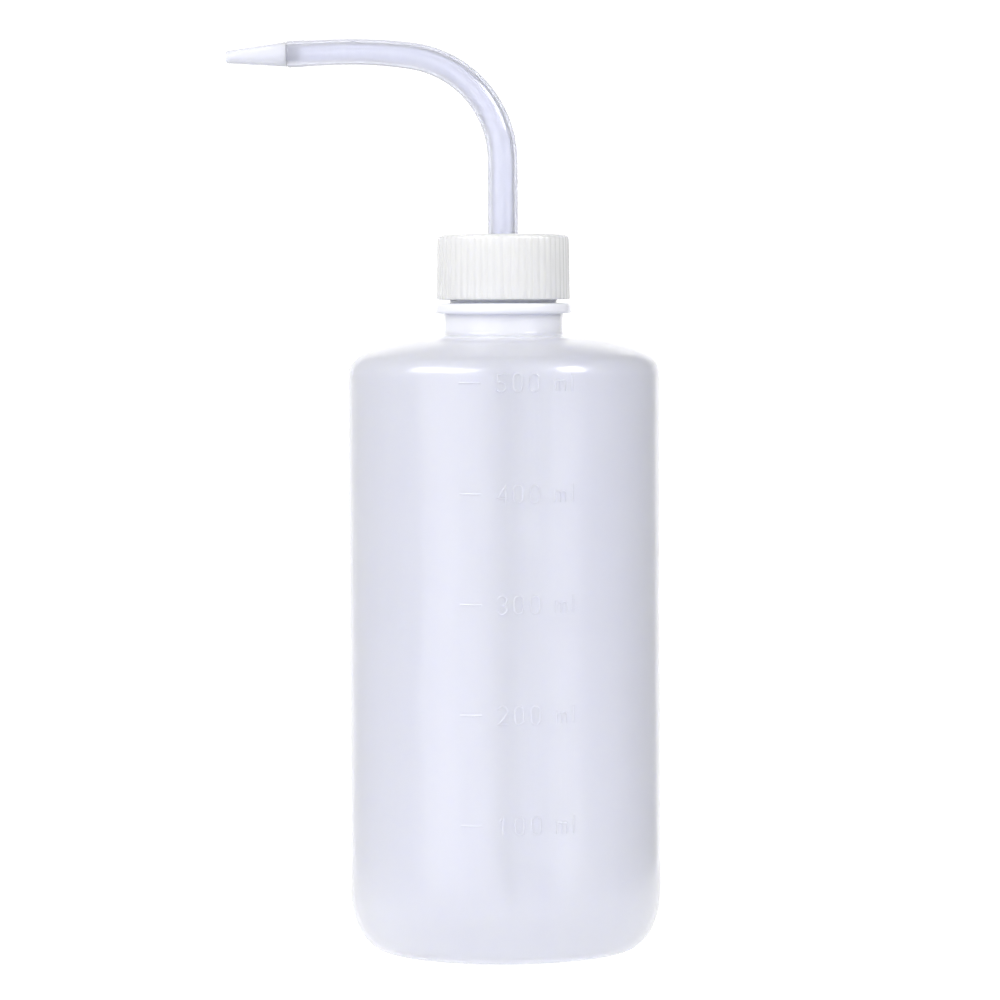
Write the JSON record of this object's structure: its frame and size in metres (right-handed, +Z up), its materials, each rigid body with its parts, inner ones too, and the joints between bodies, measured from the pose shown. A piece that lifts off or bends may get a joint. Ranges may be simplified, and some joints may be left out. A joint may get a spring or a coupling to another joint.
{
  "type": "wash bottle",
  "caption": "Squeeze bottle of translucent plastic with a ribbed screw cap, a plug, a dip tube and a bent spout that ends in a tapered nozzle.",
  "frame": {"origin": "on the bottle's axis, in the plane of the standing ring of its base", "axes": "+Z up along the bottle's axis; the spout points along -X; the graduations face -Y"},
  "size_m": [0.1025, 0.0742, 0.216],
  "materials": {
    "bottle_plastic": "translucent, satin",
    "cap_plastic": "translucent, semi-gloss",
    "liner_foam": "matt foamed plastic",
    "plug_plastic": "translucent, satin",
    "tube_plastic": "clear to milky, glossy"
  },
  "bodies": {
    "bottle": {"bottle": "bottle_plastic"},
    "closure": {"plug": "plug_plastic", "dip_tube": "tube_plastic"},
    "spout": {"spout_tube": "tube_plastic", "nozzle_tip": "tube_plastic"},
    "liner": {"cap_liner": "liner_foam"},
    "cap": {"screw_cap": "cap_plastic"}
  },
  "joints": [
    {"name": "closure_lift", "type": "slide", "parent": "bottle", "child": "closure", "axis": [0, 0, 1], "range_m": [0, 0.165]},
    {"name": "spout_swivel", "type": "hinge", "parent": "closure", "child": "spout", "pos_m": [0, 0, 0.1674], "axis": [0, 0, 1], "continuous": true},
    {"name": "cap_rise", "type": "slide", "parent": "closure", "child": "liner", "axis": [0, 0, 1], "range_m": [0, 0.0085]},
    {"name": "cap_unscrew", "type": "hinge", "parent": "liner", "child": "cap", "pos_m": [0, 0, 0.162], "axis": [0, 0, 1], "range_deg": [0, 720]}
  ],
  "couplings": [
    {"joint": "cap_rise", "follows": "cap_unscrew", "m_per_rad": 0.00066845}
  ]
}
